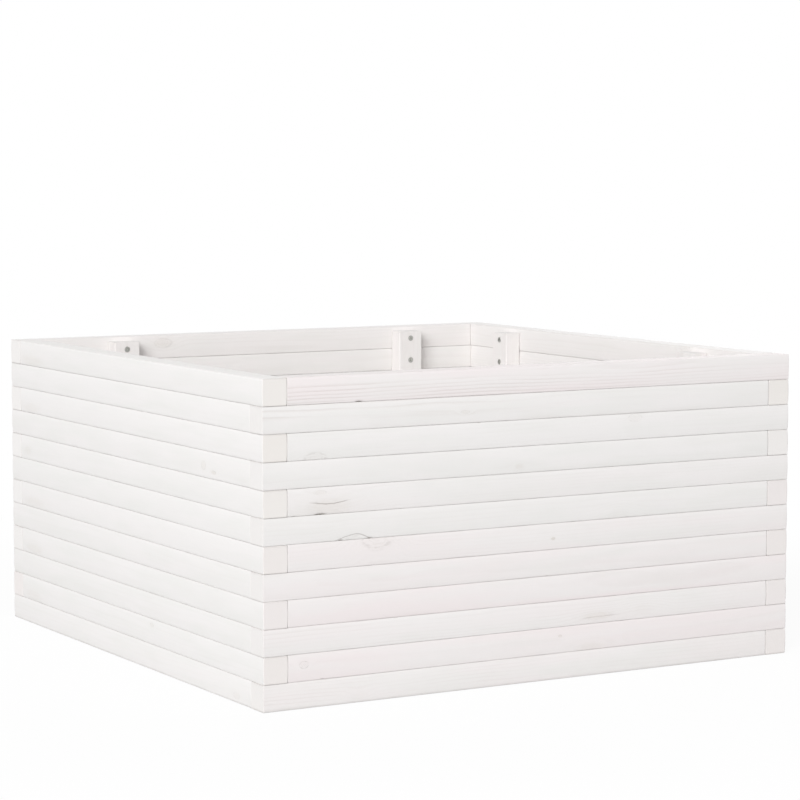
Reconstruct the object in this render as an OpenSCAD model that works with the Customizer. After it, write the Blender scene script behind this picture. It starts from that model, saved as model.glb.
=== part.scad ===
// Square garden planter: four walls of stacked rails that lap at the corners like
// clasped fingers, each corner locked by a hidden rod, with uprights and a slatted
// floor inside. Millimetres, +Z up. The origin is on the ground, under the middle.

/* [Planter] */
// Outside length of the front and back walls
planter_length = 900; // [600:10:1500]
// Outside length of the two side walls
planter_depth = 900; // [600:10:1500]
// Courses of rails in each wall
courses = 12; // [4:1:12]

/* [Rails] */
// Thickness of a rail, and so of the walls
rail_thickness = 38; // [34:1:60]
// Height of a rail
rail_height = 38; // [30:1:60]
// Radius along a rail's long edges
rail_edge_radius = 1; // [0.5:0.5:6]
// Gap between one course and the next
course_gap = 0.35; // [0.2:0.05:0.8]
// Gap between a rail's square end and the rail that it meets
butt_gap = 0.3; // [0.2:0.05:0.8]

/* [Corner rods] */
// Diameter of the rod that locks a corner
rod_diameter = 8; // [6:1:14]
// Clearance all round a rod in its bore
rod_clearance = 0.3; // [0.2:0.05:0.6]
// Wood left above the rod in the top course
rod_cover = 14; // [8:1:20]
// Height of the rod's lower end above the ground
rod_lift = 4; // [2:1:10]

/* [Uprights] */
// Thickness of an upright, measured out from the wall
upright_thickness = 28; // [20:1:32]
// Width of an upright, measured along the wall
upright_width = 45; // [30:1:70]
// Distance from an inside corner to the upright
upright_inset = 118; // [80:1:150]
// Depth of an upright's top below the rim
upright_drop = 7; // [3:1:15]
// Radius along an upright's long edges
upright_edge_radius = 2; // [1:0.5:5]

/* [Floor] */
// Width of the ledgers that run round the foot of the walls
ledger_width = 45; // [40:1:60]
// Height of the ledgers and of the bearers between them
ledger_height = 38; // [36:1:55]
// Width of a bearer
bearer_width = 38; // [30:1:60]
// Bearers between the two side ledgers
bearer_count = 2; // [1:1:4]
// Width of a floor slat
slat_width = 85; // [60:1:120]
// Thickness of a floor slat
slat_thickness = 18; // [16:1:28]
// Least drainage gap between two slats
slat_gap = 11; // [6:1:20]
// Space from the slats to the uprights
slat_margin = 2; // [1:0.5:5]
// Radius along the long edges of slats, ledgers and bearers
floor_edge_radius = 1.5; // [0.5:0.5:4]

/* [Screws] */
// Length of a screw, from its flat head to its point
screw_length = 50; // [40:1:50]
// Diameter of a screw's shank
screw_diameter = 5; // [4:0.5:6]
// Diameter of a screw's countersunk head
head_diameter = 9.6; // [8:0.2:11]
// Clearance all round a screw in its hole
screw_clearance = 0.15; // [0.1:0.05:0.3]
// Depth to which the ledgers' screws reach into the bottom rails
ledger_screw_bite = 24; // [18:1:28]

/* [Fit] */
// Gap between pieces that are screwed or laid against each other
seat_gap = 0.2; // [0.1:0.05:0.4]

/* [Hidden] */
$fn = 48;
WALLS = ["front", "right", "back", "left"];
SIDES = ["left", "right"];

// Heights of the stack of courses
course_pitch = rail_height + course_gap;
wall_height = courses * course_pitch - course_gap;
function course_foot(course) = (course - 1) * course_pitch;
function course_middle(course) = course_foot(course) + rail_height / 2;

// Every wall is laid out from its left end as seen from outside, with depth inwards
function wall_span(wall) = wall % 2 == 0 ? planter_length : planter_depth;
function upright_left(wall, side) =
    side == 0
        ? rail_thickness + upright_inset
        : wall_span(wall) - rail_thickness - upright_inset - upright_width;
function upright_columns(wall) =
    [for (side = [0, 1]) upright_left(wall, side) + upright_width / 2];
function ledger_columns(wall) = concat(upright_columns(wall), [wall_span(wall) / 2]);

// Uprights stand on the ledgers and take a screw from each course that they cover
upright_foot = ledger_height + seat_gap;
function meets_uprights(course) =
    course > 1 && course_middle(course) > upright_foot + head_diameter;
upright_courses = [for (course = [1:courses]) if (meets_uprights(course)) course];
upright_face = rail_thickness + seat_gap + upright_thickness;

// Ledgers lie against the walls; their screws sit deep enough to reach the rails
ledger_face = rail_thickness + seat_gap + ledger_width;
ledger_screw_height = min(rail_height, ledger_height) / 2;
ledger_screw_seat = rail_thickness - ledger_screw_bite + screw_length;

// The slats fill the floor between the uprights' faces
slat_foot = ledger_height + seat_gap;
slat_length = planter_length - 2 * (upright_face + slat_margin);
slat_field = planter_depth - 2 * (upright_face + slat_margin);
slat_count = floor((slat_field + slat_gap) / (slat_width + slat_gap));
slat_pitch = (slat_field - slat_width) / (slat_count - 1);
function slat_middle(slat) = (slat - (slat_count - 1) / 2) * slat_pitch;

// The bearers share the width between the side walls
bearer_length = planter_depth - 2 * (ledger_face + seat_gap);
bearer_pitch = (planter_length - 2 * rail_thickness) / (bearer_count + 1);
function bearer_middle(bearer) = (bearer - (bearer_count - 1) / 2) * bearer_pitch;

// A screw's head has a thin upright rim above a right-angled cone
head_rim = 0.6;
head_height = head_rim + (head_diameter - screw_diameter) / 2;
screw_point = 7;

// Cuts start this far outside the surface that they open
cut_over = 1;

function two_digits(number) = number < 10 ? str("0", number) : str(number);
function rail_name(wall, course) = str(WALLS[wall], "_rail_", two_digits(course));
function upright_name(wall, side) = str(WALLS[wall], "_upright_", SIDES[side]);

// Section of a planed batten with eased edges
module batten_section(width, height, radius) {
    translate([radius, 0]) square([width - 2 * radius, height]);
    translate([0, radius]) square([width, height - 2 * radius]);
    for (x = [radius, width - radius], y = [radius, height - radius])
        translate([x, y]) circle(radius);
}

// Batten that runs along +X from the origin, with its depth along +Y
module batten(length, width, height, radius) {
    rotate([90, 0, 90])
        linear_extrude(length)
            batten_section(width, height, radius);
}

// Puts what is laid out along a wall at its place round the planter
module on_wall(wall) {
    corner = [[-1, -1], [1, -1], [1, 1], [-1, 1]][wall];
    translate([corner.x * planter_length / 2, corner.y * planter_depth / 2, 0])
        rotate([0, 0, 90 * wall])
            children();
}

// Turned form of a screw with its flat head up at the origin: rim, cone, shank and point.
// A hole is the same form, larger all round by grow and open above the head by rise.
module screw_form(grow, rise) {
    shank = screw_diameter + 2 * grow;
    head = head_diameter + 2 * grow;
    point_top = screw_point - screw_length - grow;
    tip = -screw_length - 3 * grow;
    translate([0, 0, -head_rim]) cylinder(h = head_rim + rise, d = head);
    translate([0, 0, -head_height]) cylinder(h = head_height - head_rim, d1 = shank, d2 = head);
    translate([0, 0, point_top]) cylinder(h = -head_height - point_top, d = shank);
    translate([0, 0, tip]) cylinder(h = point_top - tip, d1 = 0, d2 = shank);
}

// Screws, or their holes, that run outwards through a wall's uprights at one course
module upright_screws(wall, course, grow = 0, rise = 0) {
    for (column = upright_columns(wall))
        translate([column, upright_face, course_middle(course)])
            rotate([-90, 0, 0])
                screw_form(grow, rise);
}

// Screws, or their holes, that run outwards through a wall's ledger
module ledger_screws(wall, grow = 0, rise = 0) {
    for (column = ledger_columns(wall))
        translate([column, ledger_screw_seat, ledger_screw_height])
            rotate([-90, 0, 0])
                screw_form(grow, rise);
}

// Screws, or their holes, that run down through the slats into the bearers
module slat_screws(grow = 0, rise = 0) {
    for (slat = [0:slat_count - 1], number = [0:bearer_count - 1])
        translate([bearer_middle(number), slat_middle(slat), slat_foot + slat_thickness])
            screw_form(grow, rise);
}

// Bore for a corner rod, which stops short of the rim in the top course
module rod_bore(course) {
    depth = course == courses ? rail_height - rod_cover : rail_height + cut_over;
    translate([0, 0, -cut_over])
        cylinder(h = depth + cut_over, d = rod_diameter + 2 * rod_clearance);
}

// One rail. Odd courses run through at the wall's left end and even ones at its right,
// so at each corner the rails of two walls lie on each other in turn.
module rail(wall, course) {
    span = wall_span(wall);
    length = span - rail_thickness - butt_gap;
    runs_left = course % 2 == 1;
    start = runs_left ? 0 : span - length;
    rod_place = runs_left ? rail_thickness / 2 : span - rail_thickness / 2;
    color([0.94, 0.93, 0.91])
        on_wall(wall)
            difference() {
                translate([start, 0, course_foot(course)])
                    batten(length, rail_thickness, rail_height, rail_edge_radius);
                translate([rod_place, rail_thickness / 2, course_foot(course)])
                    rod_bore(course);
                if (course == 1)
                    ledger_screws(wall, screw_clearance);
                if (meets_uprights(course))
                    upright_screws(wall, course, screw_clearance);
            }
}

// One upright, which ties the rails of its wall together from inside
module upright(wall, side) {
    height = wall_height - upright_drop - upright_foot;
    color([0.90, 0.89, 0.86])
        on_wall(wall)
            difference() {
                translate([upright_left(wall, side), rail_thickness + seat_gap, upright_foot])
                    linear_extrude(height)
                        batten_section(upright_width, upright_thickness, upright_edge_radius);
                for (course = upright_courses)
                    upright_screws(wall, course, screw_clearance, cut_over);
            }
}

// Four rods, each threaded up through the lapped ends of one corner
module corner_rods() {
    inset = rail_thickness / 2;
    top = course_foot(courses) + rail_height - rod_cover - rod_clearance;
    color("silver")
        for (wall = [0:3])
            on_wall(wall)
                translate([inset, inset, rod_lift])
                    cylinder(h = top - rod_lift, d = rod_diameter);
}

// One ledger, which meets the side of the next wall's ledger at its right end. Its
// screws' heads lie in deep counterbores.
module ledger(wall) {
    length = wall_span(wall) - 2 * rail_thickness - ledger_width - 3 * seat_gap;
    on_wall(wall)
        difference() {
            translate([rail_thickness + seat_gap, rail_thickness + seat_gap, 0])
                batten(length, ledger_width, ledger_height, floor_edge_radius);
            ledger_screws(wall, screw_clearance, ledger_width);
        }
}

// One bearer, which runs from the front ledger to the back one
module bearer(number) {
    translate([bearer_middle(number) + bearer_width / 2, -bearer_length / 2, 0])
        rotate([0, 0, 90])
            batten(bearer_length, bearer_width, ledger_height, floor_edge_radius);
}

// Ledgers round the foot of the walls and the bearers between them
module floor_bearers() {
    color([0.86, 0.80, 0.68])
        difference() {
            union() {
                for (wall = [0:3])
                    ledger(wall);
                for (number = [0:bearer_count - 1])
                    bearer(number);
            }
            slat_screws(screw_clearance, cut_over);
        }
}

// Floor slats, laid across the bearers with drainage gaps between them
module floor_slats() {
    color([0.88, 0.83, 0.72])
        difference() {
            for (slat = [0:slat_count - 1])
                translate([-slat_length / 2, slat_middle(slat) - slat_width / 2, slat_foot])
                    batten(slat_length, slat_width, slat_thickness, floor_edge_radius);
            slat_screws(screw_clearance, cut_over);
        }
}

// All the screws of the planter, which are alike
module wood_screws() {
    color([0.72, 0.72, 0.70]) {
        for (wall = [0:3])
            on_wall(wall) {
                ledger_screws(wall);
                for (course = upright_courses)
                    upright_screws(wall, course);
            }
        slat_screws();
    }
}

for (wall = [0:3], course = [1:courses])
    rail(wall, course);
for (wall = [0:3], side = [0, 1])
    upright(wall, side);
corner_rods();
floor_bearers();
floor_slats();
wood_screws();
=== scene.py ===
# %% [markdown]
# # A square planter of white-glazed pine
# The planter is a box of 48 battens, laid in twelve courses that lap at the corners like
# clasped fingers. Inside are uprights, a slatted floor on bearers, screws and corner rods.
# The construction is loaded as a fixed model in metres, with +Z up. This lesson gives it its
# looks: the plain battens make way for battens with crowned faces and worn arrises, every
# piece gets its finish, and soft studio light shows the wood.

import math
import random

import bmesh
import bpy
from mathutils import Matrix, Vector, noise


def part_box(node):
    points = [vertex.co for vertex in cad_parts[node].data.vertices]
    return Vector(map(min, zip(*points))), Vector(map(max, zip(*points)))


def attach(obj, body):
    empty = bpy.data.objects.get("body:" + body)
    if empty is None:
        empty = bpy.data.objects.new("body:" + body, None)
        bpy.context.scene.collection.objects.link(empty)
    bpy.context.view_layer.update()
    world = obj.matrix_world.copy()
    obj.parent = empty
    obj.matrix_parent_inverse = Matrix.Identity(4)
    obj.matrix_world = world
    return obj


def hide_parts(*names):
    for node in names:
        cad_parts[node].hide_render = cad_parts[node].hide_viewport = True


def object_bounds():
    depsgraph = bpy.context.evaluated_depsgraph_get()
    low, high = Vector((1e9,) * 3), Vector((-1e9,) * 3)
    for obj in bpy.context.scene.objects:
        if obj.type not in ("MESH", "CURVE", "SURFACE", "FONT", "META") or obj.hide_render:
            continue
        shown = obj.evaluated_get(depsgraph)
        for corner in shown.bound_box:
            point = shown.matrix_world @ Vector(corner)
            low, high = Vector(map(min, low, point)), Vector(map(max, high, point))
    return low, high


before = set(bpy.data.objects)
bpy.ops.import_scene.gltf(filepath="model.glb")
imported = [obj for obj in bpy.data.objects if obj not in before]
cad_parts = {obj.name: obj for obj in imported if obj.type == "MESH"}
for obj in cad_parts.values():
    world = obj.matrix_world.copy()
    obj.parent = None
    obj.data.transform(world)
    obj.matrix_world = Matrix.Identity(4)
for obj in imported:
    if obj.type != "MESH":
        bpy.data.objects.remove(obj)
cad_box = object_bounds()
print("construction:", len(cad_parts), "nodes")

# %% [markdown]
# ## Measures
# Where a piece lies comes from the construction, so nothing has to be fitted by eye. Each
# wall has a frame of its own: x runs along the wall from its left end as seen from outside,
# y runs inwards and z upwards. One matrix per wall turns that frame into its real place, so
# a batten is modelled once for all four walls.

# %% The four walls
WALLS = ("front", "right", "back", "left")
low, high = cad_box
CORNERS = ((low.x, low.y), (high.x, low.y), (high.x, high.y), (low.x, high.y))


def wall_frame(number):
    """Turns the frame of a wall, numbered as in WALLS, into its real place."""
    turn = Matrix.Rotation(math.radians(90 * number), 4, "Z")
    return Matrix.Translation((*CORNERS[number], 0)) @ turn


def box_in_wall(node, number):
    """Lowest and highest corner of a node in its wall's own frame."""
    back = wall_frame(number).inverted()
    a, b = (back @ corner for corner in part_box(node))
    return Vector(map(min, a, b)), Vector(map(max, a, b))


COURSES = sum(name.startswith("front_rail_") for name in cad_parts)
print("courses:", COURSES)

# %% [markdown]
# ## Shader maths as plain expressions
# A finish is a network of nodes, and written out node by node it is hard to read. Here a
# small class wraps a socket, so that `1 - mask * 2` adds its Math nodes by itself. Every
# other kind of node comes from one method, which sets what the node is first and then its
# sockets. Colours go through Mix nodes, because a Math node would turn them grey.


# %% Sockets that can be added and multiplied
class Wire:
    """A number somewhere in a finish's network."""

    def __init__(self, finish, socket):
        self.finish = finish
        self.socket = socket

    def _math(self, operation, first, second=0.0):
        return self.finish.node("Math", {"operation": operation}, {0: first, 1: second})

    def __add__(self, other):
        return self._math("ADD", self, other)

    def __radd__(self, other):
        return self._math("ADD", other, self)

    def __sub__(self, other):
        return self._math("SUBTRACT", self, other)

    def __rsub__(self, other):
        return self._math("SUBTRACT", other, self)

    def __mul__(self, other):
        return self._math("MULTIPLY", self, other)

    def __rmul__(self, other):
        return self._math("MULTIPLY", other, self)

    def __truediv__(self, other):
        return self._math("DIVIDE", self, other)

    def root(self):
        return self._math("SQRT", self)

    def whole(self):
        return self._math("FLOOR", self)

    def rest(self):
        """What is left of a number above its whole part."""
        return self._math("FRACT", self)

    def size(self):
        return self._math("ABSOLUTE", self)

    def larger(self, other):
        return self._math("MAXIMUM", self, other)

    def smaller(self, other):
        return self._math("MINIMUM", self, other)

    def above(self, edge):
        return self._math("GREATER_THAN", self, edge)

    def ease(self, start, end):
        """0 below start, 1 above end, and a soft step between them."""
        sockets = {"Value": self, "From Min": start, "From Max": end}
        return self.finish.node("MapRange", {"interpolation_type": "SMOOTHSTEP"}, sockets)


class Finish:
    """One material, or the world that is handed in as data, and its network."""

    def __init__(self, name, data=None):
        self.data = data or bpy.data.materials.new(name)
        self.data.use_nodes = True
        self.tree = self.data.node_tree
        self.tree.nodes.clear()

    def node(self, kind, settings=None, sockets=None, output=0):
        """Adds a node, sets what it is, links or fills its sockets, and gives one output."""
        made = self.tree.nodes.new("ShaderNode" + kind)
        for key, value in (settings or {}).items():
            setattr(made, key, value)
        for key, value in (sockets or {}).items():
            if isinstance(value, Wire):
                self.tree.links.new(value.socket, made.inputs[key])
            else:
                made.inputs[key].default_value = value
        return Wire(self, made.outputs[output])

    def split(self, vector):
        return [self.node("SeparateXYZ", {}, {0: vector}, axis) for axis in range(3)]

    def join(self, x, y, z):
        return self.node("CombineXYZ", {}, {0: x, 1: y, 2: z})

    def clouds(self, vector, spots, detail=2.0):
        """Soft noise round 0.5. spots says how many there are to a metre, along x and
        across it."""
        along, across = spots
        factors = {0: vector, 1: (along, across, across)}
        scaled = self.node("VectorMath", {"operation": "MULTIPLY"}, factors)
        return self.node("TexNoise", {}, {"Vector": scaled, "Scale": 1.0, "Detail": detail})

    def colour(self, factor, first, second):
        """The first colour at a factor of 0 and the second at 1. Sockets 6 and 7 take
        colours, and output 2 gives one."""
        return self.node("Mix", {"data_type": "RGBA"}, {0: factor, 6: first, 7: second}, 2)

    def place(self):
        """Where a point lies in its object's own coordinates."""
        return self.node("TexCoord", output="Object")

    def stored(self, attribute):
        return self.node("Attribute", {"attribute_name": attribute}, output="Vector")

    def surface(self, shader, kind="Material"):
        out = self.tree.nodes.new("ShaderNodeOutput" + kind)
        self.tree.links.new(shader.socket, out.inputs["Surface"])
        return self.data


def srgb(red, green, blue):
    """A colour as a paint chart gives it, from 0 to 255, in the renderer's own scale."""

    def linear(value):
        value /= 255
        return value / 12.92 if value <= 0.04045 else ((value + 0.055) / 1.055) ** 2.4

    return (linear(red), linear(green), linear(blue), 1.0)


print("a mid grey:", [round(value, 3) for value in srgb(128, 128, 128)])

# %% [markdown]
# ## The finish of the wood
# Pine under a thin white glaze is nearly white, and what makes it wood is faint. Growth
# rings are cylinders round the tree's pith, so each batten stores where its points lay in
# the log: x along the grain, y and z from the pith. The distance from the pith gives lines
# that run straight along a face, arch where the log wandered, and show as arcs on the end
# grain, all from one formula. The darker late wood of a ring shows through the glaze as a
# greyish pink line. Each batten also stores its knots, its tone, and its worn places along
# with painted shade, so all the battens share one material and yet no two look alike.

# %% Colours of glaze and wood
GLAZE = srgb(241, 239, 238)
ROSY_GLAZE = srgb(242, 235, 235)
GREYER_GLAZE = srgb(238, 237, 235)
WHITE_END = srgb(245, 243, 242)
CREAM_END = srgb(242, 238, 234)
ROSY_END = srgb(243, 238, 237)
LATE_WOOD = srgb(192, 176, 170)
KNOT_WOOD = srgb(204, 191, 172)
KNOT_BARK = srgb(128, 116, 108)
BARE_WOOD = srgb(165, 158, 151)
print("the glaze:", [round(value, 3) for value in GLAZE])

# %% [markdown]
# ### Knots and cracks
# A knot is a branch that was cut through. It has a darker body with rings of its own, a rim
# of bark, and a stain round it, and the grain flows round it. On a long face it is cut
# aslant, so it looks drawn out. Each is worked out from its place, its radius and its look.

# %% Knots
KNOTS_EACH = 3
# What makes knots and cracks uneven, in spots to a metre, along the grain and across it
WANDER_SPOTS = (110.0, 260.0)
# In a knot's own radii: how uneven it is, where its body and its halo of stain end, how wide
# its rim is, and how far and how strongly it pulls the grain
KNOT_WANDER = 0.7
KNOT_BODY = (0.5, 1.15)
KNOT_HALO = (0.6, 2.6)
RIM_WIDTH = 0.24
PULL_REACH = 3.2
PULL = 1.1
# How strong the halo is beside the body
HALO_SHARE = 0.45
# Rings to a radius, and how wide each of them is
KNOT_RINGS = 2.6
KNOT_RING_WIDTH = 0.3
# How unevenly the rim shows: its usual strength, how much that varies, and its limits
RIM_USUAL = 0.6
RIM_VARIES = 5.0
RIM_LEAST = 0.1
RIM_MOST = 1.2


def knot_field(wood, x, z, wander, knot, look):
    """Stain, dark rim, rings inside it and pull of one knot. knot holds its place along the
    batten, its height and its radius. look holds how strong its stain and its lines are,
    and how drawn out it is: 1 is round. wander makes it uneven."""
    knot_x, knot_z, radius = wood.split(knot)
    stained, lined, roundness = wood.split(look)
    across = (x - knot_x) * roundness
    up = z - knot_z
    reach = (across * across + up * up).root() / radius + wander * KNOT_WANDER
    body = 1 - reach.ease(*KNOT_BODY)
    stain = (body + (1 - reach.ease(*KNOT_HALO)) * HALO_SHARE) * stained
    rim = (1 - (reach - 1.0).size().ease(0.0, RIM_WIDTH)) * lined
    ring = ((reach * KNOT_RINGS).rest() - 0.5).size()
    rings = (1 - ring.ease(0.0, KNOT_RING_WIDTH)) * body * lined
    pull = (1 - reach.ease(0.0, PULL_REACH)) * radius * PULL
    return stain, rim, rings, pull


def all_knots(wood, x, z, wander):
    """Stain, rim, rings and pull of all the knots that a batten stores, added up."""
    stain, rim, rings, pull = 0.0, 0.0, 0.0, 0.0
    for number in range(1, KNOTS_EACH + 1):
        knot = wood.stored(f"knot_{number}")
        look = wood.stored(f"knot_{number}_look")
        parts = knot_field(wood, x, z, wander, knot, look)
        stain, rim, rings, pull = (
            part + total for part, total in zip(parts, (stain, rim, rings, pull))
        )
    rim = rim * (wander * RIM_VARIES + RIM_USUAL).larger(RIM_LEAST).smaller(RIM_MOST)
    return stain, rim, rings, pull


print("knots that a batten can have:", KNOTS_EACH)

# %% Cracks, which joiners call checks
# A crack with rising ends is round in its middle by this radius
CHECK_BEND = 0.011
# How unsteady its line is
CHECK_WANDER = 0.0016
# It is fully dark as far as the first distance from its line, and gone at the second
CHECK_EDGE = (0.0002, 0.0011)
# Shares of its half length between which it fades out
CHECK_FADES = (0.4, 1.0)


def crack_field(wood, x, z, wander):
    """How dark the crack is that a batten stores."""
    check_x, check_z, check_reach = wood.split(wood.stored("check"))
    dark, rise, lean = wood.split(wood.stored("check_look"))
    past = x - check_x
    along = (past * past + CHECK_BEND**2).root() - CHECK_BEND
    line = (z - check_z - along * rise - past * lean - wander * CHECK_WANDER).size()
    ends = (along / check_reach).ease(*CHECK_FADES)
    return (1 - line.ease(*CHECK_EDGE)) * (1 - ends) * dark


print("a crack is up to", 2000 * CHECK_EDGE[1], "mm wide")

# %% [markdown]
# ### Growth rings
# A log isn't straight, so slow bends and small ripples are added to the distance from the
# pith before it is cut into rings. Within a ring the wood darkens slowly towards the late
# wood and then ends sharply, which is what makes growth rings look as they do.

# %% Growth rings and fibres
RING_STEP = 0.0043
# Shares of a ring between which the late wood darkens, and between which it ends
LATE_GROWS = (0.45, 0.88)
LATE_ENDS = (0.90, 1.0)
# Bends and ripples of the log to a metre, along the grain and across it, and how many
# metres they move the rings
BENDS = (2.6, 11.0)
RIPPLES = (14.0, 90.0)
BENT_BY = 0.012
RIPPLED_BY = 0.0014
# Patches where the lines show more, and what share of them shows in the plainest ones
PATCHES = (5.0, 60.0)
PATCH_EDGE = (0.35, 0.65)
LEAST_LINES = 0.2
# How much a knot's stain adds to the lines
STAINED_LINES = 0.2
# Fibres to a metre, along the grain and across it
FIBRES = (30.0, 1100.0)


def grain_lines(wood, log, pull, stain, figure):
    """How much late wood shows, and the ripple of the log. pull and stain come from the
    knots, and figure says how clearly the piece shows its rings."""
    _, y, z = wood.split(log)
    drift = wood.clouds(log, BENDS) - 0.5
    ripple = wood.clouds(log, RIPPLES) - 0.5
    radius = (y * y + z * z).root() + drift * BENT_BY + ripple * RIPPLED_BY + pull
    ring = (radius / RING_STEP).rest()
    late = ring.ease(*LATE_GROWS) * (1 - ring.ease(*LATE_ENDS))
    patchy = wood.clouds(log, PATCHES).ease(*PATCH_EDGE)
    clear = (patchy * (1 - LEAST_LINES) + LEAST_LINES) * figure
    return late * (clear + stain * STAINED_LINES), ripple


print("one ring every", RING_STEP * 1000, "mm")

# %% [markdown]
# ### Glaze
# The glaze is mottled, rosier in some clouds than in others, and whiter on the sawn ends,
# which drink more of it. Over it come the marks of the wood, each by mixing in a colour of
# its own very weakly. Worn and chipped places are the last, since they lie bare.

# %% Glaze
# Mottles and rosy clouds to a metre, along the grain and across it
MOTTLES = (9.0, 55.0)
ROSY_CLOUDS = (4.0, 40.0)
# How strongly the mottles show
MOTTLED = 3.0
# How softly the clouds begin, how rosy it is between them, and how much rosier inside them
CLOUD_EDGE = (0.3, 0.7)
CLOUD_LEAST = 0.25
CLOUD_MORE = 0.55


def face_tint(wood, log, shade, rosy):
    """Colour of the glaze on the long faces."""
    clouds = wood.clouds(log, ROSY_CLOUDS, 1.0).ease(*CLOUD_EDGE)
    mottle = wood.clouds(log, MOTTLES, 1.0) - 0.5
    tint = wood.colour(shade + mottle * MOTTLED, GLAZE, GREYER_GLAZE)
    return wood.colour((clouds * CLOUD_MORE + CLOUD_LEAST) * rosy, tint, ROSY_GLAZE)


def end_tint(wood, end):
    """Colour of the glaze on a sawn end: white at 1, cream at 1.5 and rosy at 2."""
    tint = wood.colour(end * 2 - 2, WHITE_END, CREAM_END)
    return wood.colour(end * 2 - 3, tint, ROSY_END)


print("mottles are about", round(1000 / MOTTLES[1]), "mm wide")

# %% White-glazed pine
# How strongly each mark of the wood shows through the glaze
LINES_SHOW = 0.08
FIBRES_SHOW = 0.10
STAIN_SHOWS = 0.065
KNOT_RINGS_SHOW = 0.05
RIM_SHOWS = 0.13
CRACK_SHOWS = 0.5
# The next two also carry painted shade: along the arrises, on the ends and inside
RUB_AND_SHADE_SHOWS = 0.34
BARE_AND_SHADE_SHOW = 0.35
# How much of the lines and of the fibres a sawn end lacks
SAWN_LINES = 0.5
SAWN_FIBRES = 0.7
# Roughness of the glaze, and what ripples, lines and bare wood add to it
ROUGHNESS = 0.6
ROUGH_RIPPLE = 0.16
ROUGH_LINES = 0.05
ROUGH_BARE = 0.2
SPECULAR = 0.12
# Relief: metres to one unit of height, and how high or deep each mark is in those units
RELIEF_UNIT = 0.0004
RELIEF_STRENGTH = 0.5
FIBRES_HIGH = 0.16
LINES_DEEP = 0.25
RIM_DEEP = 0.4
CRACK_DEEP = 2.0
# What a piece is like that stores nothing of its own
PLAIN_SHADES = (0.7, 9.0)
PLAIN_ROSY = 0.4
PLAIN_FIGURE = 0.9
# Painted shade inside the planter: the inner faces of the battens, and all of the uprights,
# bearers and slats, take in a little of the bare wood's colour
INSIDE_SHADE = 0.3


def glazed_pine(name, find_log, stored=True):
    """White-glazed pine. find_log gives a point's position in the log from the finish's
    network. stored says whether the pieces store tone, wear with painted shade, knots and
    crack. Pieces that store nothing are darkened all over by the painted shade of the inside."""
    wood = Finish(name)
    log = find_log(wood)
    stain, rim, rings, pull = 0.0, 0.0, 0.0, 0.0
    # Unless a piece stores its own, it is darkened by the painted shade of the inside
    crack, rub_and_shade, bare_and_shade = 0.0, 0.0, INSIDE_SHADE
    if stored:
        x, _, z = wood.split(log)
        wander = wood.clouds(log, WANDER_SPOTS, 1.0) - 0.5
        stain, rim, rings, pull = all_knots(wood, x, z, wander)
        crack = crack_field(wood, x, z, wander)
        shade, rosy, figure = wood.split(wood.stored("tone"))
        rub_and_shade, end, bare_and_shade = wood.split(wood.stored("wear_and_shade"))
        sawn = end.smaller(1.0)
    else:
        shade = wood.clouds(log, PLAIN_SHADES, 0.0)
        rosy, figure = PLAIN_ROSY, PLAIN_FIGURE

    lines, ripple = grain_lines(wood, log, pull, stain, figure)
    fibre = wood.clouds(log, FIBRES, 1.0) - 0.5
    tint = face_tint(wood, log, shade, rosy)
    if stored:
        lines = lines * (1 - sawn * SAWN_LINES)
        fibre = fibre * (1 - sawn * SAWN_FIBRES)
        tint = wood.colour(sawn, tint, end_tint(wood, end))
    tint = wood.colour(lines * LINES_SHOW, tint, LATE_WOOD)
    tint = wood.colour((fibre * FIBRES_SHOW).larger(0.0), tint, LATE_WOOD)
    if stored:
        tint = wood.colour(stain * STAIN_SHOWS, tint, KNOT_WOOD)
        dark = rings * KNOT_RINGS_SHOW + rim * RIM_SHOWS + crack * CRACK_SHOWS
        tint = wood.colour(dark, tint, KNOT_BARK)
    # Bare wood mixes in where the glaze is worn or chipped, and as painted shade along seams and
    # arrises, at the foot, on the near-corner ends and inside the planter
    tint = wood.colour(rub_and_shade * RUB_AND_SHADE_SHOWS + bare_and_shade * BARE_AND_SHADE_SHOW, tint, BARE_WOOD)

    height = fibre * FIBRES_HIGH - lines * LINES_DEEP - rim * RIM_DEEP - crack * CRACK_DEEP
    relief = {"Strength": RELIEF_STRENGTH, "Distance": RELIEF_UNIT, "Height": height}
    rough = ROUGHNESS + ripple * ROUGH_RIPPLE + lines * ROUGH_LINES + bare_and_shade * ROUGH_BARE
    sockets = {
        "Base Color": tint,
        "Roughness": rough,
        "Specular IOR Level": SPECULAR,
        "Normal": wood.node("Bump", {}, relief),
    }
    return wood.surface(wood.node("BsdfPrincipled", {}, sockets))


batten_pine = glazed_pine("white_pine", lambda wood: wood.stored("lie"))
print("finish:", batten_pine.name, "with", len(batten_pine.node_tree.nodes), "nodes")

# %% [markdown]
# ## The battens
# A batten on this planter is planed pine whose long faces have sunk a little towards the
# edges as they dried, so each catches the light at its top and falls off towards the bottom.
# Its arrises are only just broken, and here and there the wood has chipped. A bevelled box
# would do for the outline. Here the box is cut into many short lengths first, so that the
# crown, the unsteady arris and the chips are in the mesh and show from every side.

# %% Shape of one batten
CROWN = 0.0008
ARRIS = 0.0006
END_ARRIS = 0.0005
ARRIS_STEPS = 3
# Two faces that turn by more than this, in radians, meet at an arris
SHARP = 1.0
# Shares of the height at which the long faces are cut, closest near the arrises
ROWS = (0.04, 0.09, 0.22, 0.36, 0.5, 0.64, 0.78, 0.91, 0.96)
# The last cut before an arris is this far from it
MARGIN = 0.0016
# Points closer than this count as one
HAIR = 1e-6


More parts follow.
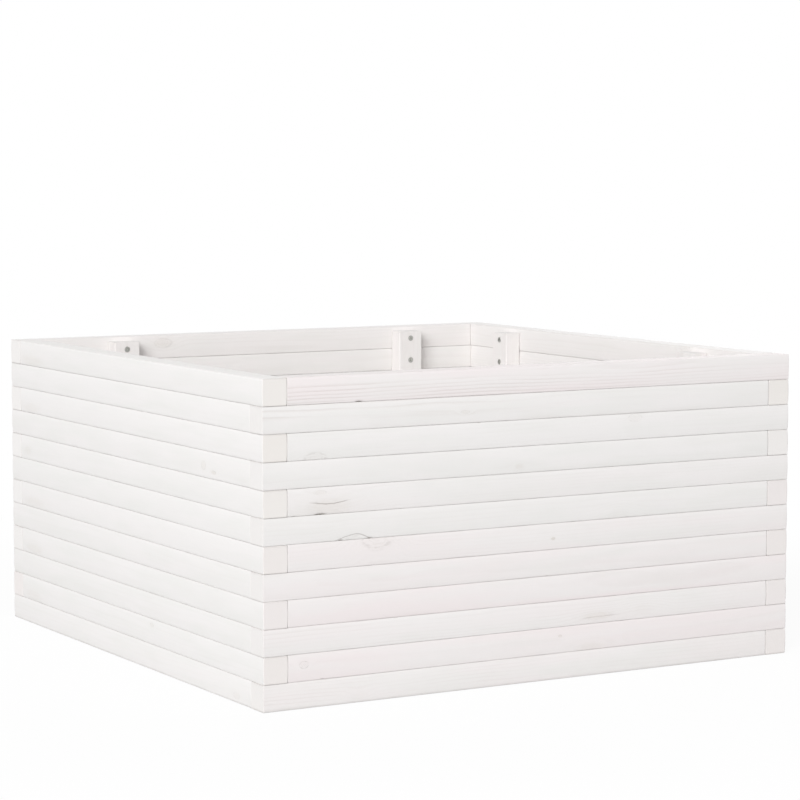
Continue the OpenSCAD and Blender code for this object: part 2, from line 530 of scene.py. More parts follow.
def sawn_block(length, depth, height, stations):
    """A block along +x from the origin, cut across at the stations and along its faces."""
    block = bmesh.new()
    bmesh.ops.create_cube(block, size=1)
    bmesh.ops.translate(block, vec=(0.5, 0.5, 0.5), verts=block.verts)
    bmesh.ops.scale(block, vec=(length, depth, height), verts=block.verts)
    cuts = [((place, 0, 0), (1, 0, 0)) for place in stations]
    cuts += [((0, 0, row * height), (0, 0, 1)) for row in ROWS]
    cuts += [((0, place, 0), (0, 1, 0)) for place in (MARGIN, depth - MARGIN)]
    for point, direction in cuts:
        parts = block.verts[:] + block.edges[:] + block.faces[:]
        bmesh.ops.bisect_plane(block, geom=parts, plane_co=point, plane_no=direction)
    return block


def crown_faces(block, depth, height):
    """The two upright long faces fall back from their middle line towards the arrises."""
    for vert in block.verts:
        fall = CROWN * (2 * vert.co.z / height - 1) ** 2
        if vert.co.y < HAIR:
            vert.co.y += fall
        elif vert.co.y > depth - HAIR:
            vert.co.y -= fall


def break_arrises(block):
    """Rounds the long arrises first and then, more finely, those round both ends."""
    for offset, lengthways in ((ARRIS, True), (END_ARRIS, False)):
        sharp = []
        for edge in block.edges:
            run = edge.verts[1].co - edge.verts[0].co
            if edge.calc_face_angle(0) > SHARP and (abs(run.x) > run.length / 2) == lengthways:
                sharp.append(edge)
        bmesh.ops.bevel(
            block,
            geom=sharp,
            offset=offset,
            segments=ARRIS_STEPS,
            profile=0.5,
            affect="EDGES",
            material=-1,
            clamp_overlap=True,
        )


trial = sawn_block(0.8, 0.038, 0.038, [0.1 * step for step in range(1, 8)])
break_arrises(trial)
print("a trial batten with few cuts has", len(trial.faces), "faces")
trial.free()

# %% [markdown]
# ### Chips, worn arrises and painted shade
# A chip is wood torn out of an arris: a shallow scoop, deepest in its middle. It could be
# painted, but a seam between two battens is so narrow that only real missing wood makes it
# look wider there. Every arris also wanders a little. Both only ever take wood away, so a
# batten never reaches past its place. How worn a point is gets stored for the finish,
# together with painted shade along the arrises, which darkens the seams and the corners.

# %% Wear and painted shade
# How far an arris wanders at most, in how many waves to a metre, and how wide a strip
# beside it goes along
WOBBLE = 0.0002
WAVES = 55
WOBBLE_STRIP = 0.003
# Read this far to either side in the noise, each long arris wanders in its own way
ARRISES_APART = 3
# Width of the darker strip beside an arris, which is partly rubbed glaze and partly painted
# shade in the seams and on the corners; how much wider it is at the planter's foot, as
# painted shade where it meets the floor; how unevenly it is darkened; and how dark the
# upright arrises round the ends are on each wall, a painted shade strongest on the right wall
RUB_AND_SHADE_WIDTH = 0.0018
FOOT_SHADE = 2.0
UNEVEN_RUB_AND_SHADE = 0.6
UPRIGHT_RUB_AND_SHADE = {"front": 0.45, "right": 1.0, "back": 0.45, "left": 0.2}
# Width of a chip's scoop for its depth, how flat its bottom is, and how fast it gets bare
CHIP_WIDTH = 2.2
CHIP_CURVE = 0.7
CHIP_BARE = 1.6


def scooped(chip, x, edge):
    """How far a point lies in a chip: 0 outside it and 1 where it is deepest. x is its place
    along the batten, and edge is how far it lies from the arris."""
    chip_x, _, _, reach, deep = chip
    away = ((x - chip_x) / reach) ** 2 + (edge / (deep * CHIP_WIDTH)) ** 2
    return (1 - away) ** CHIP_CURVE if away < 1 else 0.0


def wear_arrises(block, size, chips, seed, foot, end_rub_and_shade):
    """Moves points near the long arrises inwards. Returns for each vertex how dark its arris
    strip is, which is partly wear and partly painted shade, and how bare it is. At the foot,
    which stands on the ground, the lower arrises get a wider strip of painted shade. The last
    argument is how dark the upright arrises round the ends are, 1 as the others."""
    length, depth, height = size
    rubbed_and_shaded = []
    for vert in block.verts:
        x, y, z = vert.co
        tip = min(x, length - x)
        side = min(y, depth - y)
        rise = min(z, height - z)
        inwards = Vector((0, 1 if y < depth / 2 else -1, 1 if z < height / 2 else -1))
        near = max(0.0, 1 - (side + rise) / WOBBLE_STRIP)
        # At the foot the strip is widened as painted shade where the planter meets the floor
        width = RUB_AND_SHADE_WIDTH * (FOOT_SHADE if foot and z < height / 2 else 1)
        lying = 1 - (min(side, tip) + rise) / width
        # Painted shade on the upright arrises round the ends, set wall by wall for the light
        upright = (1 - (side + tip) / RUB_AND_SHADE_WIDTH) * end_rub_and_shade
        # The darker strip along an arris is partly rubbed glaze and partly painted shade
        rub_and_shade = max(0.0, lying, upright)
        across = inwards * ARRISES_APART
        spread = noise.noise(Vector((x * WAVES, across.y + seed, across.z)))
        loss = WOBBLE * near * max(0.0, 0.5 + spread)
        bare_and_shade = 0.0
        for chip in chips:
            _, inner, upper, _, deep = chip
            if (inwards.y > 0) == (inner < 0.5) and (inwards.z > 0) == (upper < 0.5):
                scoop = scooped(chip, x, side + rise)
                loss = max(loss, deep * scoop)
                bare_and_shade = max(bare_and_shade, min(1.0, scoop * CHIP_BARE))
        vert.co += inwards * loss
        rubbed_and_shaded.append((rub_and_shade * (1 + UNEVEN_RUB_AND_SHADE * spread), bare_and_shade))
    return rubbed_and_shaded


# Even cuts are this far apart, and a chip has this many cuts on each side of its middle
STATION = 0.009
CHIP_STEPS = 4


def stations_along(length, chips):
    """Even cuts, one close to each end, and some finer ones round each chip."""
    count = round(length / STATION)
    places = {round(length * step / count, 5) for step in range(1, count)}
    places |= {MARGIN, length - MARGIN}
    steps = range(-CHIP_STEPS, CHIP_STEPS + 1)
    for chip_x, _, _, reach, _ in chips:
        places |= {round(chip_x + reach * step / CHIP_STEPS, 5) for step in steps}
    return sorted(place for place in places if MARGIN <= place <= length - MARGIN)


print("cuts along a batten without chips:", len(stations_along(high.x - low.x, [])))

# %% [markdown]
# ### What marks each batten
# The battens that the camera sees have their knots, cracks and larger chips where the
# planter in the photograph has them, measured along the wall from its left end and up from
# the batten's underside. Small chips, and all that isn't listed here, come by chance, from a
# seed, so that they come out the same each time.

# %% Marks, in millimetres
# Knots: along the wall, height, radius, how strong stain and lines are, and roundness
KNOTS = {
    "front_rail_11": [(323, 16, 2.5, 1.2, 0.9, 0.35)],
    "front_rail_10": [(82, -1, 11, 0.5, 1.0, 0.62), (616, 32, 6, 0.6, 0.6, 0.5)],
    "front_rail_09": [(414, 10, 4, 1.0, 0.3, 0.62)],
    "front_rail_08": [(102, 10, 12, 1.3, 0.2, 0.35), (89, 31, 3, 1.0, 0.6, 0.3)],
    "front_rail_07": [(147, -5, 11, 0.2, 0.6, 0.5), (588, 4, 9, 0.3, 0.1, 0.5)],
    "front_rail_06": [(180, 40, 18, 0.5, 1.0, 0.72), (473, 16, 1.8, 3.0, 3.0, 0.62)],
    "front_rail_03": [(553, 11, 6, 1.4, 0.3, 0.25), (632, 14, 9, 0.4, 0.0, 0.4)],
    "front_rail_02": [
        (63, 23, 5.0, 0.1, 2.2, 0.75),
        (486, 25, 1.8, 1.5, 2.2, 0.62),
        (541, 4, 8, 1.1, 0.0, 0.3),
    ],
    "front_rail_01": [(150, 10, 6, 0.3, 0.1, 0.5)],
    "left_rail_12": [(85, 9, 9, 1.0, 0.1, 0.2)],
    "left_rail_10": [(80, 8, 8, 0.9, 0.1, 0.25)],
    "left_rail_09": [(717, 17, 6, 1.0, 0.6, 0.8), (749, 10, 2.4, 2.0, 2.0, 0.35)],
    "left_rail_08": [(66, 14, 7, 0.9, 0.1, 0.5)],
    "left_rail_06": [(90, 9, 9, 0.9, 0.1, 0.22)],
    "left_rail_04": [(88, 9, 8, 0.9, 0.1, 0.25)],
    "left_rail_02": [(82, 9, 8, 0.9, 0.1, 0.25), (538, 29, 3, 1.0, 1.2, 0.5)],
    "left_rail_01": [(817, 10, 5, 0.8, 0.5, 0.5)],
}
# Chips: along the wall, 0 outside or 1 inside, 0 under or 1 on top, half length, depth
CHIPS = {
    "front_rail_12": [(151, 0, 0, 8, 1.0)],
    "front_rail_10": [(347, 0, 1, 5, 0.8)],
    "front_rail_08": [(90, 0, 0, 13, 1.1), (68, 0, 0, 12, 0.5), (48, 0, 0, 5, 0.7)],
    "front_rail_07": [(122, 0, 0, 6, 0.9), (168, 0, 0, 6, 0.9)],
    "front_rail_06": [(679, 0, 1, 5, 0.6)],
    "front_rail_02": [(92, 0, 0, 5, 0.8)],
    "left_rail_11": [(172, 0, 1, 8, 0.6)],
}
# Cracks: middle along the wall, height, half length, how dark, how much both ends rise,
# and how much the whole crack leans
CHECKS = {
    "front_rail_08": (104, 14.2, 26, 0.8, 0.16, 0.0),
    "front_rail_07": (149, 7.6, 42, 0.65, -0.45, -0.136),
    "front_rail_03": (556, 9.5, 30, 0.33, 0.0, 0.02),
}
# How rosy a batten is, how clearly its rings show, how much more they do so at its left end
# than in its middle, and the pith's depth and height
GRAIN = {
    "front_rail_12": (1.2, 2.4, 0.52, -12, 34),
    "front_rail_11": (0.15, 1.35, 0.7, -45, 8),
    "front_rail_10": (0.05, 0.4, 0.0, 50, 60),
    "front_rail_09": (0.1, 0.35, 0.4, -60, 30),
    "front_rail_08": (0.3, 0.55, 0.4, 30, -40),
    "front_rail_07": (0.15, 0.45, 0.0, -36, 50),
    "front_rail_06": (0.8, 0.5, 0.0, 40, 70),
    "front_rail_05": (0.8, 0.6, 0.2, -50, 20),
    "front_rail_04": (1.4, 1.0, 0.2, 60, 20),
    "front_rail_03": (0.6, 0.8, 0.4, -30, 60),
    "front_rail_02": (1.2, 0.5, 0.0, 45, 10),
    "front_rail_01": (0.6, 0.8, 0.5, -30, -20),
}
# On the left wall the glaze lies thicker, so that its grain hardly shows
THICK_GLAZE = 0.35
# Painted shade on the sawn ends of each wall's battens; it darkens the ends that show at
# the near corner, where the front and left walls meet
END_SHADE = {"front": 0.24, "right": 0.0, "back": 0.0, "left": 0.15}
# End grain that shows: 0 white, 0.5 cream, 1 rosy
ENDS = {
    "left_rail_12": 0.38,
    "left_rail_10": 0.46,
    "left_rail_08": 0.34,
    "left_rail_06": 0.82,
    "left_rail_04": 1.0,
    "left_rail_02": 0.8,
    "right_rail_11": 0.42,
    "right_rail_09": 0.15,
    "right_rail_07": 1.0,
    "right_rail_05": 0.9,
    "right_rail_03": 1.0,
    "right_rail_01": 0.9,
    "back_rail_02": 0.9,
}
# Far off the batten, for a knot or a crack that it doesn't have
NO_KNOT = ((-50.0, 0.0, 0.005), (0.0, 0.0, 1.0))
NO_CHECK = (-50000, 0, 10, 0, 0, 0)
MM = 0.001
print("battens with their own marks:", len(KNOTS.keys() | CHIPS.keys() | GRAIN.keys()))

# %% Marks from the lists or by chance
KNOT_CHANCE = 0.45
MOST_CHIPS = 4


def knot_by_chance(length, height, chance):
    """Place and look of a knot on a batten that the camera doesn't see."""
    place = (
        chance.uniform(0.05, 0.95) * length,
        chance.uniform(-0.1, 1.1) * height,
        chance.uniform(0.003, 0.009),
    )
    look = (chance.uniform(0.4, 1.3), chance.uniform(0.2, 0.9), chance.uniform(0.4, 0.8))
    return place, look


def chip_by_chance(length, chance):
    """A small chip in any of the four long arrises."""
    place = chance.uniform(0.06, 0.94) * length
    side, top = chance.random(), chance.random()
    return place, side, top, chance.uniform(0.002, 0.006), chance.uniform(0.0003, 0.0007)


def marks_of(name, start, length, height, chance):
    """Knots, chips and crack of a batten, in metres from its own left end."""
    knots = [
        ((along * MM - start, up * MM, radius * MM), look)
        for along, up, radius, *look in KNOTS.get(name, [])
    ]
    chips = [
        (along * MM - start, side, top, reach * MM, deep * MM)
        for along, side, top, reach, deep in CHIPS.get(name, [])
    ]
    seen = name.startswith(("front", "left"))
    while len(knots) < KNOTS_EACH and not seen and chance.random() < KNOT_CHANCE:
        knots.append(knot_by_chance(length, height, chance))
    for _ in range(chance.randint(1, MOST_CHIPS)):
        chips.append(chip_by_chance(length, chance))
    check_x, check_z, reach, *look = CHECKS.get(name, NO_CHECK)
    return knots, chips, ((check_x * MM - start, check_z * MM, reach * MM), look)


def grain_of(name, chance):
    """Shade, rosiness, figure and its fade, and the pith's depth and height in metres."""
    side = chance.choice((-1, 1))
    by_chance = (
        chance.uniform(0.0, 0.35),
        chance.uniform(0.3, 1.0),
        0.0,
        side * chance.uniform(20, 60),
        chance.uniform(-30, 70),
    )
    rosy, figure, fade, pith_y, pith_z = GRAIN.get(name, by_chance)
    if name.startswith("left"):
        rosy *= THICK_GLAZE
        figure *= THICK_GLAZE
    return chance.uniform(0.0, 0.6), rosy, figure, fade, pith_y * MM, pith_z * MM


listed = sum(len(marks) for table in (KNOTS, CHIPS) for marks in table.values())
print("knots, chips and cracks from the photograph:", listed + len(CHECKS))

# %% [markdown]
# ### From saw to place
# One function takes a rail of the construction and gives the batten that stands for it. The
# values that the finish reads are worked out for each vertex while the batten still lies at
# the origin, because there its own length, depth and height are x, y and z. Only then is it
# moved to its wall.

# %% Helpers for one batten
# The battens have settled this far into the seams, which the construction leaves wider
SETTLED = 0.0001


def settled_box(node, number, course):
    """Lowest and highest corner of a batten in its wall's frame."""
    start, end = box_in_wall(node, number)
    if course > 1:
        start.z -= SETTLED
    if course < COURSES:
        end.z += SETTLED
    return start, end


def wear_rows(block, size, rubbed_and_shaded, end_tone, wall):
    """For each vertex how dark its arris strip is, 0 or on a sawn end 1 and its tone, and how
    bare it is, together with the painted shade of the sawn ends and of the inner face.
    """
    length, depth, _ = size
    rows = []
    for vert, (rub_and_shade, bare_and_shade) in zip(block.verts, rubbed_and_shaded):
        x, y, _ = vert.co
        # A sawn end gets its tone and its wall's painted shade
        if min(x, length - x) < END_ARRIS / 2:
            rows.append((rub_and_shade, 1 + end_tone, max(bare_and_shade, END_SHADE[wall])))
        # The inner face gets the painted shade of the inside
        elif y > depth - 2 * CROWN:
            rows.append((rub_and_shade, 0.0, max(bare_and_shade, INSIDE_SHADE)))
        else:
            rows.append((rub_and_shade, 0.0, bare_and_shade))
    return rows


def store(mesh, name, rows):
    """Keeps one vector for each vertex under a name that the finish can read."""
    layer = mesh.attributes.new(name, "FLOAT_VECTOR", "POINT")
    layer.data.foreach_set("vector", [value for row in rows for value in row])


def finished_mesh(name, shape):
    """Turns a bmesh into a mesh."""
    mesh = bpy.data.meshes.new(name)
    shape.to_mesh(mesh)
    shape.free()
    return mesh


def in_scene(name, data):
    """An object for a mesh, a lamp or a camera."""
    made = bpy.data.objects.new(name, data)
    bpy.context.scene.collection.objects.link(made)
    return made


print("the battens make each seam narrower by", round(2000 * SETTLED, 2), "mm")


# %% One batten, from saw to place
def make_batten(node, number, course):
    """The batten that stands for one rail of the construction."""
    wall = WALLS[number]
    chance = random.Random(node)
    start, end = settled_box(node, number, course)
    size = end - start
    length, depth, height = size
    knots, chips, check = marks_of(node, start.x, length, height, chance)
    shade, rosy, figure, fade, pith_y, pith_z = grain_of(node, chance)
    block = sawn_block(length, depth, height, stations_along(length, chips))
    crown_faces(block, depth, height)
    break_arrises(block)
    seed = chance.uniform(0, 90)
    rubbed_and_shaded = wear_arrises(block, size, chips, seed, course == 1, UPRIGHT_RUB_AND_SHADE[wall])

    shift = chance.uniform(0, 40)
    end_tone = ENDS.get(node, chance.uniform(0.0, 0.1))
    verts = block.verts
    rows = {
        "lie": [(v.co.x + shift, v.co.y - pith_y, v.co.z - pith_z) for v in verts],
        "wear_and_shade": wear_rows(block, size, rubbed_and_shaded, end_tone, wall),
        "tone": [
            (shade, rosy, figure * (1 + fade * (1 - 2 * v.co.x / length))) for v in verts
        ],
    }
    spare = [NO_KNOT] * (KNOTS_EACH - len(knots))
    marks = [("check", check)]
    marks += [(f"knot_{slot}", mark) for slot, mark in enumerate(knots + spare, 1)]
    for name, ((x, z, reach), look) in marks:
        rows[name] = [(x + shift, z - pith_z, reach)] * len(verts)
        rows[f"{name}_look"] = [look] * len(verts)

    place = wall_frame(number) @ Matrix.Translation(start)
    bmesh.ops.transform(block, matrix=place, verts=block.verts)
    bmesh.ops.recalc_face_normals(block, faces=block.faces)
    mesh = finished_mesh(f"{wall}_batten_{course:02d}", block)
    mesh.shade_smooth()
    for name, vectors in rows.items():
        store(mesh, name, vectors)
    mesh.materials.append(batten_pine)
    piece = in_scene(mesh.name, mesh)
    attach(piece, "root")
    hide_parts(node)
    return piece


battens = [
    make_batten(f"{wall}_rail_{course:02d}", number, course)
    for number, wall in enumerate(WALLS)
    for course in range(1, COURSES + 1)
]
print("battens:", len(battens), "with", sum(len(b.data.polygons) for b in battens), "faces")

# %% [markdown]
# ## Uprights and floor
# The uprights, the bearers and the floor slats keep their shape from the construction,
# because their screw holes are true there. They get the same pine. Their points have no
# stored place in a log, so it is worked out from Object coordinates: the grain of an
# upright runs along z, and that of a slat along x.

# %% Pine for the pieces that keep their shape
# Shifts along the log that set apart the two ends of x, the two ends of y, and the walls
# that face along x from those that face along y
UPRIGHT_SHIFTS = (1.7, 3.1, 5.3)
# Distance of the pith from the planter's middle, along an upright's wall and outwards
UPRIGHT_PITH = (0.26, 0.35)


def upright_log(wood):
    """Along z. The four walls' uprights are folded onto one, and shifted to look unlike."""
    x, y, z = wood.split(wood.place())
    right, back, sideways = UPRIGHT_SHIFTS
    facing = x.size().above(y.size())
    shift = x.above(0.0) * right + y.above(0.0) * back + facing * sideways
    pith_across, pith_out = UPRIGHT_PITH
    across = x.size().smaller(y.size()) - pith_across
    out = x.size().larger(y.size()) - pith_out
    return wood.join(z + shift, across, out)


SLAT_WIDTH = 0.085
SLAT_GAP = 0.011


def slat_rows():
    """Where the first slat starts, how many slats there are and how far apart they lie."""
    start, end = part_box("floor_slats")
    field = end.y - start.y
    slats = math.floor((field + SLAT_GAP) / (SLAT_WIDTH + SLAT_GAP))
    return start.y, slats, (field - SLAT_WIDTH) / (slats - 1)


# Shift along the log from one slat to the next, and the pith's place across a slat and its
# height
SLAT_SHIFT = 3.7
SLAT_PITH = (0.04, 0.09)


def slat_log(wood):
    """Along x. Each slat has a place of its own in the log."""
    x, y, z = wood.split(wood.place())
    first, _, pitch = slat_rows()
    row = (y - first) / pitch
    pith_across, pith_up = SLAT_PITH
    along = x + row.whole() * SLAT_SHIFT
    return wood.join(along, row.rest() * pitch - pith_across, z - pith_up)


# From the outer face of a ledger to just past its inner face
LEDGER_STRIP = 0.0454
BEARER_PITH = 0.07


def bearer_log(wood):
    """The front and back ledgers lie along x, the side ledgers and the bearers along y."""
    x, y, z = wood.split(wood.place())
    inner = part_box("floor_bearers")[1].y - LEDGER_STRIP
    lengthways = y.size().above(inner)
    along = lengthways * x + (1 - lengthways) * y
    across = lengthways * y + (1 - lengthways) * x
    return wood.join(along, across, z - BEARER_PITH)


CARRIED = {
    "upright_pine": (upright_log, [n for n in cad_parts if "_upright_" in n]),
    "slat_pine": (slat_log, ["floor_slats"]),
    "bearer_pine": (bearer_log, ["floor_bearers"]),
}
for name, (log, nodes) in CARRIED.items():
    pine = glazed_pine(name, log, stored=False)
    for node in nodes:
        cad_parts[node].material_slots[0].material = pine
    print(name, "on", len(nodes), "nodes")

# %% [markdown]
# ## Screws and rods
# The screws are zinc-plated steel, countersunk, with a six-lobed star recess. They are
# repeated more than a hundred times, so one is turned from a short profile in twelve steps
# and copied. The recess is an inset of the head's face whose every second corner is drawn
# in, pushed down into the head.

# %% Zinc-plated steel
COOL_ZINC = srgb(176, 180, 180)
WARM_ZINC = srgb(206, 206, 198)
# Crystals and hazy spots to a metre
CRYSTALS = (420.0, 420.0)
HAZE = (60.0, 60.0)
CRYSTALS_HIGH = 0.0001
CRYSTALS_SHOW = 0.25
ZINC_ROUGHNESS = 0.30
HAZE_ROUGHNESS = 0.25


def zinc(name):
    """Steel under a thin coat of zinc, whose crystals make it frosty."""
    steel = Finish(name)
    place = steel.place()
    frost = steel.clouds(place, CRYSTALS, 3.0)
    haze = steel.clouds(place, HAZE, 1.0)
    relief = {"Strength": CRYSTALS_SHOW, "Distance": CRYSTALS_HIGH, "Height": frost}
    sockets = {
        "Base Color": steel.colour(frost, COOL_ZINC, WARM_ZINC),
        "Metallic": 1.0,
        "Roughness": ZINC_ROUGHNESS + haze * HAZE_ROUGHNESS,
        "Normal": steel.node("Bump", {}, relief),
    }
    return steel.surface(steel.node("BsdfPrincipled", {}, sockets))


zinc_steel = zinc("zinc_steel")
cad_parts["corner_rods"].material_slots[0].material = zinc_steel
print("finish:", zinc_steel.name)

# %% One screw
# Radii of shank, head, tip and recess
SHANK = 0.0025
HEAD = 0.0048
TIP = 0.0003
RECESS = 0.0026
# Lengths of the whole screw, of its point and of the rim of its head, and the recess's depth
SCREW_LENGTH = 0.050
POINT = 0.007
HEAD_RIM = 0.0006
RECESS_DEPTH = 0.0019
# Shares of its radius that the recess has between two lobes, and at its bottom
LOBE_DIP = 0.74
RECESS_TAPER = 0.82
TURNS = 12


def turned_screw():
    """A screw with its flat head up at the origin."""
    screw = bmesh.new()
    profile = [
        (HEAD, 0.0),
        (HEAD, -HEAD_RIM),
        (SHANK, -HEAD_RIM - (HEAD - SHANK)),
        (SHANK, POINT - SCREW_LENGTH),
        (TIP, -SCREW_LENGTH),
    ]
    verts = [screw.verts.new((radius, 0, z)) for radius, z in profile]
    edges = [screw.edges.new(pair) for pair in zip(verts, verts[1:])]
    bmesh.ops.spin(
        screw,
        geom=verts + edges,
        axis=(0, 0, 1),
        cent=(0, 0, 0),
        angle=2 * math.pi,
        steps=TURNS,
        use_merge=True,
    )
    bmesh.ops.remove_doubles(screw, verts=screw.verts, dist=HAIR)
    bmesh.ops.holes_fill(screw, edges=screw.edges, sides=TURNS)
    bmesh.ops.recalc_face_normals(screw, faces=screw.faces)
    face = max(screw.faces, key=lambda f: f.calc_center_median().z)
    bmesh.ops.inset_region(screw, faces=[face], thickness=HEAD - RECESS)
    for lobe, vert in enumerate(face.verts):
        if lobe % 2:
            vert.co.xy *= LOBE_DIP
    down = bmesh.ops.extrude_discrete_faces(screw, faces=[face])["faces"][0]
    bmesh.ops.translate(screw, vec=(0, 0, -RECESS_DEPTH), verts=down.verts)
    bmesh.ops.scale(screw, vec=(RECESS_TAPER, RECESS_TAPER, 1), verts=down.verts)
    return screw


sample = turned_screw()
print("one screw has", len(sample.faces), "faces")

# %% [markdown]
# ### Where the screws sit
# Each course but the lowest is screwed from inside through both uprights of its wall. The
# lowest is screwed through the ledger, under the uprights and halfway between them, and the
# slats are screwed down to the bearers. All that is worked out from the construction's boxes
# and a few of its sizes.

# %% Where the screws sit
# From a wall's outer face to the heads of the screws in its ledger
LEDGER_SEAT = 0.064
BEARERS = 2
OUTWARDS = Matrix.Rotation(math.radians(-90), 4, "X")


def wall_screws(number):
    """Matrices for the screws of one wall."""
    wall = WALLS[number]
    rails = [box_in_wall(f"{wall}_rail_{course:02d}", number) for course in range(1, COURSES + 1)]
    lowest, *others = ((start.z + end.z) / 2 for start, end in rails)
    columns, places = [], []
    for side in ("left", "right"):
        start, end = box_in_wall(f"{wall}_upright_{side}", number)
        column = (start.x + end.x) / 2
        columns.append(column)
        places += [(column, end.y, middle) for middle in others]
    columns.append(sum(columns) / 2)
    places += [(column, LEDGER_SEAT, lowest) for column in columns]
    return [wall_frame(number) @ Matrix.Translation(place) @ OUTWARDS for place in places]


def slat_screws():
    """Matrices for the screws that hold each slat on each bearer."""
    first, slats, pitch = slat_rows()
    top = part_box("floor_slats")[1].z
    wall_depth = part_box("front_rail_01")[1].y - low.y
    bearer_pitch = (high.x - low.x - 2 * wall_depth) / (BEARERS + 1)
    made = []
    for slat in range(slats):
        y = first + SLAT_WIDTH / 2 + slat * pitch
        for bearer in range(BEARERS):
            x = (bearer - (BEARERS - 1) / 2) * bearer_pitch
            made.append(Matrix.Translation((x, y, top)))
    return made


def screw_places():
    """A matrix for each screw, which puts its head flush and turns it its own way."""
    chance = random.Random("screws")
    made = [matrix for number in range(len(WALLS)) for matrix in wall_screws(number)]
    made += slat_screws()
    return [m @ Matrix.Rotation(chance.uniform(0, math.pi), 4, "Z") for m in made]


def drive_screws(sample, places):
    """All the screws as one piece."""
    heap = bmesh.new()
    one = bpy.data.meshes.new("one_screw")
    for place in places:
        copy = sample.copy()
        bmesh.ops.transform(copy, matrix=place, verts=copy.verts)
        copy.to_mesh(one)
        copy.free()
        heap.from_mesh(one)
    bpy.data.meshes.remove(one)
    mesh = finished_mesh("countersunk_screws", heap)
    mesh.materials.append(zinc_steel)
    piece = in_scene(mesh.name, mesh)
    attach(piece, "root")
    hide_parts("wood_screws")
    return piece


places = screw_places()
screws = drive_screws(sample, places)
sample.free()
print("screws:", len(places), "with", len(screws.data.polygons), "faces")

# %% [markdown]
# ## Floor, background and light
# The planter stands on a plain white studio floor that runs into a white background. For
# the camera the floor is mostly its own even white with a little real shade in it, so that
# it keeps the object's shadow and yet meets the background without a line. For all other
# light it is a pale grey, which throws less light back up than the sky sends down: that
# difference is what rounds the battens' faces.

# %% White floor
# Half of the floor's side, and how far it lies below the planter
FLOOR_SIZE = 40.0
FLOOR_DROP = 0.0004
# How much real shade the camera sees, and the distances between which that ends
SHADE_SHARE = 0.09
SHADE_REACH = (0.75, 1.6)
# Grey of the floor that takes the shade, and of the floor that all other light meets
SHADE_GREY = 0.92
FLOOR_GREY = 0.41
WHITE = (1, 1, 1, 1)


def seen_directly(finish):
    """1 for light that reaches the camera straight, by a mirror or through glass."""
    camera = finish.node("LightPath", output="Is Camera Ray")
    glossy = finish.node("LightPath", output="Is Glossy Ray")
    passed = finish.node("LightPath", output="Is Transmission Ray")
    return camera.larger(glossy).larger(passed)


def matt_grey(finish, value):
    return finish.node("BsdfDiffuse", {}, {"Color": (value, value, value, 1)})


def white_floor():
    paint = Finish("white_floor")
    glow = paint.node("Emission", {}, {"Color": WHITE, "Strength": 1.0})
    x, y, _ = paint.split(paint.place())
    share = (1 - (x * x + y * y).root().ease(*SHADE_REACH)) * SHADE_SHARE
    seen = paint.node("MixShader", {}, {0: share, 1: glow, 2: matt_grey(paint, SHADE_GREY)})
    lit = matt_grey(paint, FLOOR_GREY)
    mixed = paint.node("MixShader", {}, {0: seen_directly(paint), 1: lit, 2: seen})
    return paint.surface(mixed)


sheet = bmesh.new()
bmesh.ops.create_grid(sheet, x_segments=2, y_segments=2, size=FLOOR_SIZE)
bmesh.ops.translate(sheet, vec=(0, 0, -FLOOR_DROP), verts=sheet.verts)
floor_mesh = finished_mesh("studio_floor", sheet)
floor_mesh.materials.append(white_floor())
floor = in_scene("studio_floor", floor_mesh)
print("floor:", 2 * FLOOR_SIZE, "m across")

# %% White background that lights the scene from all round
SKY_LIGHT = 0.60

world = bpy.data.worlds.new("studio")
bpy.context.scene.world = world
air = Finish("studio", world)
sky = air.node("Background", {}, {"Color": WHITE, "Strength": SKY_LIGHT})
white = air.node("Background", {}, {"Color": WHITE, "Strength": 1.0})
air.surface(air.node("MixShader", {}, {0: seen_directly(air), 1: sky, 2: white}), "World")
print("sky light:", SKY_LIGHT)

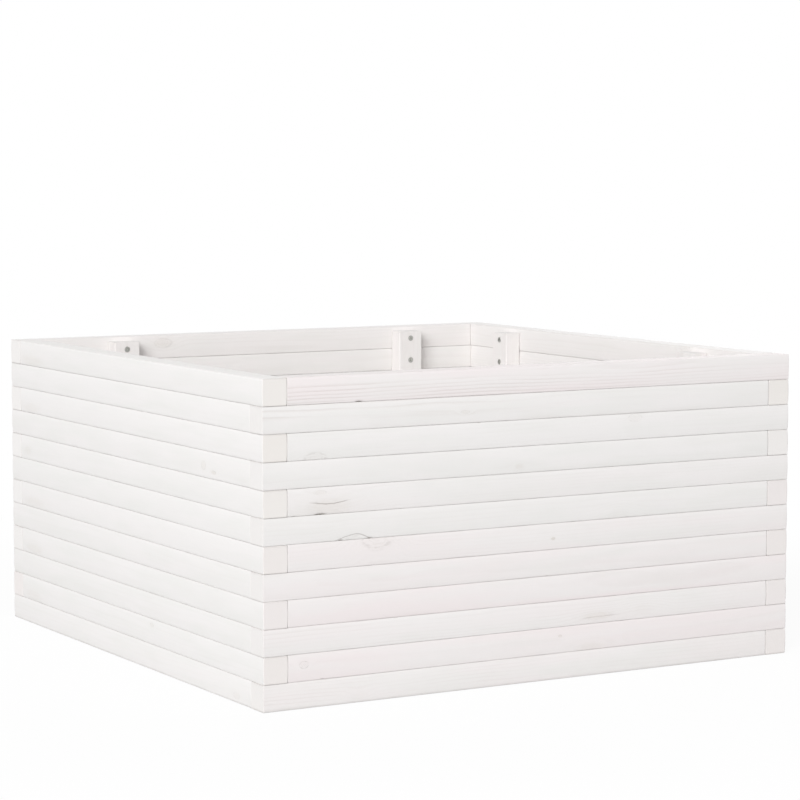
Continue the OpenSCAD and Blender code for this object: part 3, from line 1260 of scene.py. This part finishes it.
# %% [markdown]
# ### Lamps
# One large soft lamp stands off the near corner, a little to the left, so both seen walls
# get nearly the same light and the left one slightly more. A weaker one from the far side
# keeps the back walls from going grey. A lamp's power is worked out from the brightness
# that it should give a white card at the planter, because that is what one wants to know.


# %% Soft lamps
def soft_lamp(name, heading, height_angle, distance, size, brightness):
    """A square lamp. heading is measured from -y towards -x, brightness on a white card."""
    lamp = bpy.data.lights.new(name, "AREA")
    lamp.size = size
    lamp.energy = brightness * (math.pi * distance) ** 2
    flat = distance * math.cos(math.radians(height_angle))
    place = Vector(
        (
            -flat * math.sin(math.radians(heading)),
            -flat * math.cos(math.radians(heading)),
            distance * math.sin(math.radians(height_angle)),
        )
    )
    holder = in_scene(name, lamp)
    holder.location = place
    holder.rotation_euler = (-place).to_track_quat("-Z", "Y").to_euler()
    print(name, "power", round(lamp.energy), "W")


soft_lamp("key_lamp", heading=47.7, height_angle=24, distance=17, size=8.5, brightness=0.799)
soft_lamp("fill_lamp", heading=229, height_angle=12, distance=12, size=6, brightness=0.20)

# %% [markdown]
# ## Camera
# The camera's place was found from the planter's corners and seams in the photograph. It
# stands about four metres off and looks down by five degrees, through a long lens.

# %% Camera at the photograph's angle
CAMERA_PLACE = (-2.1227, -3.7058, 0.7670)
CAMERA_HEADING = 30.117
CAMERA_DIP = 5.246
CAMERA_LENS = 121.84
SENSOR_WIDTH = 36.0

camera_data = bpy.data.cameras.new("camera")
camera_data.lens = CAMERA_LENS
camera_data.sensor_width = SENSOR_WIDTH
camera = in_scene("camera", camera_data)
camera.location = CAMERA_PLACE
camera.rotation_euler = (math.radians(90 - CAMERA_DIP), 0, math.radians(-CAMERA_HEADING))
bpy.context.scene.camera = camera
bpy.context.scene.view_settings.view_transform = "Standard"
print("camera distance:", round(Vector(CAMERA_PLACE).length, 2), "m")

# %% [markdown]
# ## The construction's box
# The lowest and highest corner of the construction are printed at the end. The dressed
# planter must stay inside the construction's box.

# %% Print the construction's box
print("construction box:", [tuple(round(v, 4) for v in c) for c in cad_box])
